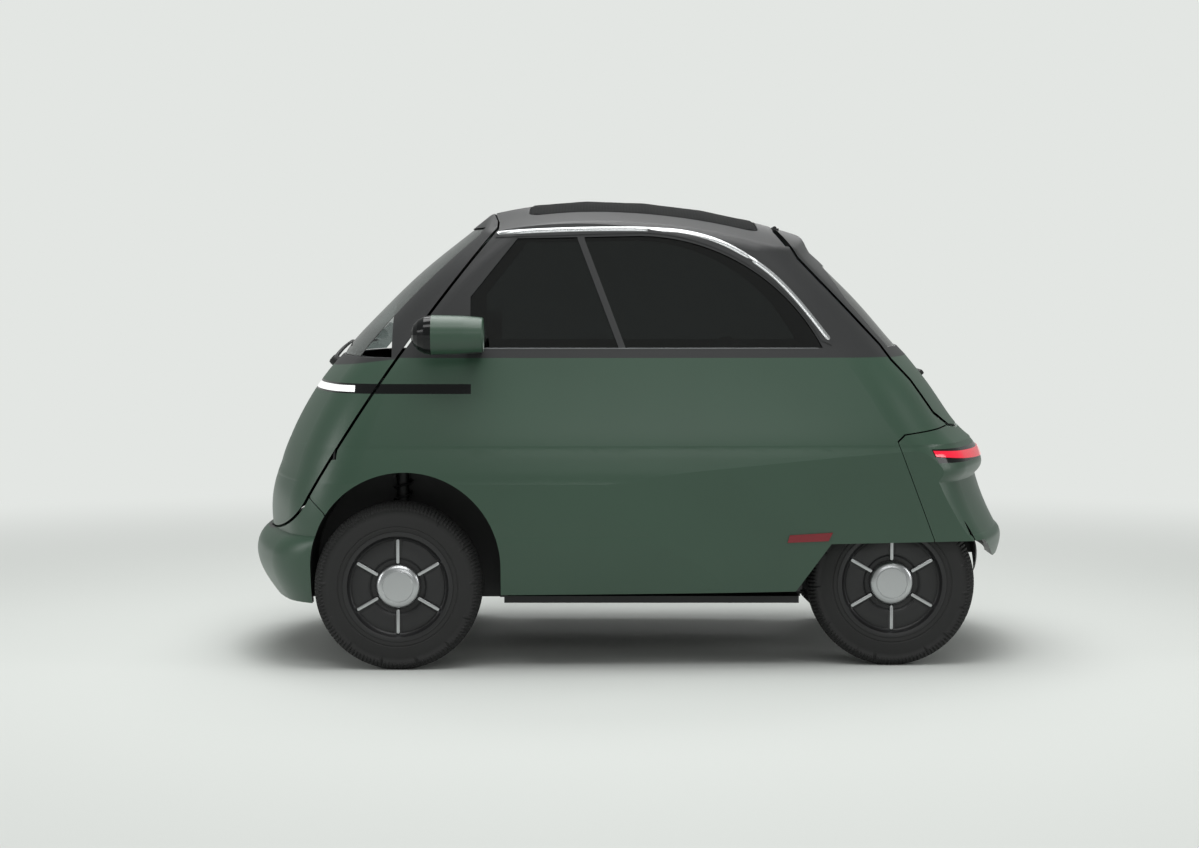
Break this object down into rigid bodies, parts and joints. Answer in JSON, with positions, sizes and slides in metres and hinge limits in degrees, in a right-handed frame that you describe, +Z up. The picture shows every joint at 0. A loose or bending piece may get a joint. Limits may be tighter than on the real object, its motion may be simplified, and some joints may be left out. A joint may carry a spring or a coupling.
{
  "type": "microcar with a front door",
  "caption": "Small electric city car with a side-hinged front door that carries the windscreen, a folding roof, a tailgate, steered front wheels and a narrow rear track.",
  "frame": {"origin": "on the ground under the middle of the bounding box", "axes": "+X forward, +Y to the car's left, +Z up"},
  "size_m": [2.5196, 1.645, 1.5039],
  "materials": {
    "chassis": "black coated steel",
    "aluminium": "cast aluminium",
    "paint": "satin dark green paint",
    "dark_paint": "satin dark grey paint",
    "roof_fabric": "roof cloth",
    "glass": "tinted glass",
    "chrome": "bright strip",
    "gloss_black": "gloss black trim",
    "black_plastic": "moulded black plastic",
    "mirror": "mirror",
    "lamp_glass": "dark lamp lens",
    "red_lens": "red lens",
    "seat_fabric": "woven seat cloth",
    "steel": "machined steel",
    "white_lens": "white lamp",
    "tyre": "rubber",
    "rim": "black wheel with silver spokes"
  },
  "bodies": {
    "body": {"floor_pan": "chassis", "battery_pack": "chassis", "drive_motor": "aluminium", "side_panel_left": "paint", "side_panel_right": "paint", "front_bumper": "paint", "rear_bumper": "paint", "cabin_frame_left": "dark_paint", "cabin_frame_right": "dark_paint", "roof_panel": "dark_paint", "folding_roof": "roof_fabric", "side_windows": "glass", "window_trims": "chrome", "side_light_trims": "gloss_black", "mirror_arms": "black_plastic", "mirror_housings": "paint", "mirror_glasses": "mirror", "headlamps": "lamp_glass", "wheel_well_liners": "black_plastic", "tail_lamp_band": "red_lens", "side_reflectors": "red_lens", "seat_cushion": "seat_fabric", "seat_back": "seat_fabric", "steering_column": "black_plastic", "front_control_arms": "steel", "suspension_struts": "steel", "rear_trailing_arms": "steel", "drive_shafts": "steel", "door_hinge_pin": "steel", "tailgate_hinge_pins": "steel"},
    "front_door": {"door_panel": "paint", "door_frame": "dark_paint", "windscreen": "glass", "door_light_bar": "gloss_black", "dash_bar": "black_plastic", "daytime_lamps": "white_lens"},
    "tailgate": {"tailgate_panel": "paint", "tailgate_frame": "dark_paint", "rear_window": "glass"},
    "steering_wheel": {"steering_wheel": "black_plastic"},
    "knuckle_left": {"knuckle_left": "aluminium"},
    "knuckle_right": {"knuckle_right": "aluminium"},
    "wheel_front_left": {"tyre_front_left": "tyre", "rim_front_left": "rim"},
    "wheel_front_right": {"tyre_front_right": "tyre", "rim_front_right": "rim"},
    "wheel_rear_left": {"tyre_rear_left": "tyre", "rim_rear_left": "rim"},
    "wheel_rear_right": {"tyre_rear_right": "tyre", "rim_rear_right": "rim"}
  },
  "joints": [
    {"name": "front_door_hinge", "type": "hinge", "parent": "body", "child": "front_door", "pos_m": [0.94, 0.669, 0.692], "axis": [0, -0.1736, 0.9848], "range_deg": [0, 80]},
    {"name": "tailgate_hinge", "type": "hinge", "parent": "body", "child": "tailgate", "pos_m": [-0.485, 0, 1.409], "axis": [0, 1, 0], "range_deg": [0, 75]},
    {"name": "steering_wheel_turn", "type": "hinge", "parent": "body", "child": "steering_wheel", "pos_m": [0.43, 0.29, 0.88], "axis": [0.848, 0, -0.5299], "range_deg": [-480, 480]},
    {"name": "steer_left", "type": "hinge", "parent": "body", "child": "knuckle_left", "pos_m": [0.738, 0.635, 0.2665], "axis": [0, 0, 1], "range_deg": [-30, 30]},
    {"name": "wheel_spin_front_left", "type": "hinge", "parent": "knuckle_left", "child": "wheel_front_left", "pos_m": [0.738, 0.635, 0.2665], "axis": [0, 1, 0], "continuous": true},
    {"name": "steer_right", "type": "hinge", "parent": "body", "child": "knuckle_right", "pos_m": [0.738, -0.635, 0.2665], "axis": [0, 0, 1], "range_deg": [-30, 30]},
    {"name": "wheel_spin_front_right", "type": "hinge", "parent": "knuckle_right", "child": "wheel_front_right", "pos_m": [0.738, -0.635, 0.2665], "axis": [0, 1, 0], "continuous": true},
    {"name": "wheel_spin_rear_left", "type": "hinge", "parent": "body", "child": "wheel_rear_left", "pos_m": [-0.838, 0.535, 0.2665], "axis": [0, 1, 0], "continuous": true},
    {"name": "wheel_spin_rear_right", "type": "hinge", "parent": "body", "child": "wheel_rear_right", "pos_m": [-0.838, -0.535, 0.2665], "axis": [0, 1, 0], "continuous": true}
  ],
  "couplings": [
    {"joint": "steer_left", "follows": "steering_wheel_turn", "ratio": -0.0625},
    {"joint": "steer_right", "follows": "steering_wheel_turn", "ratio": -0.0625}
  ]
}
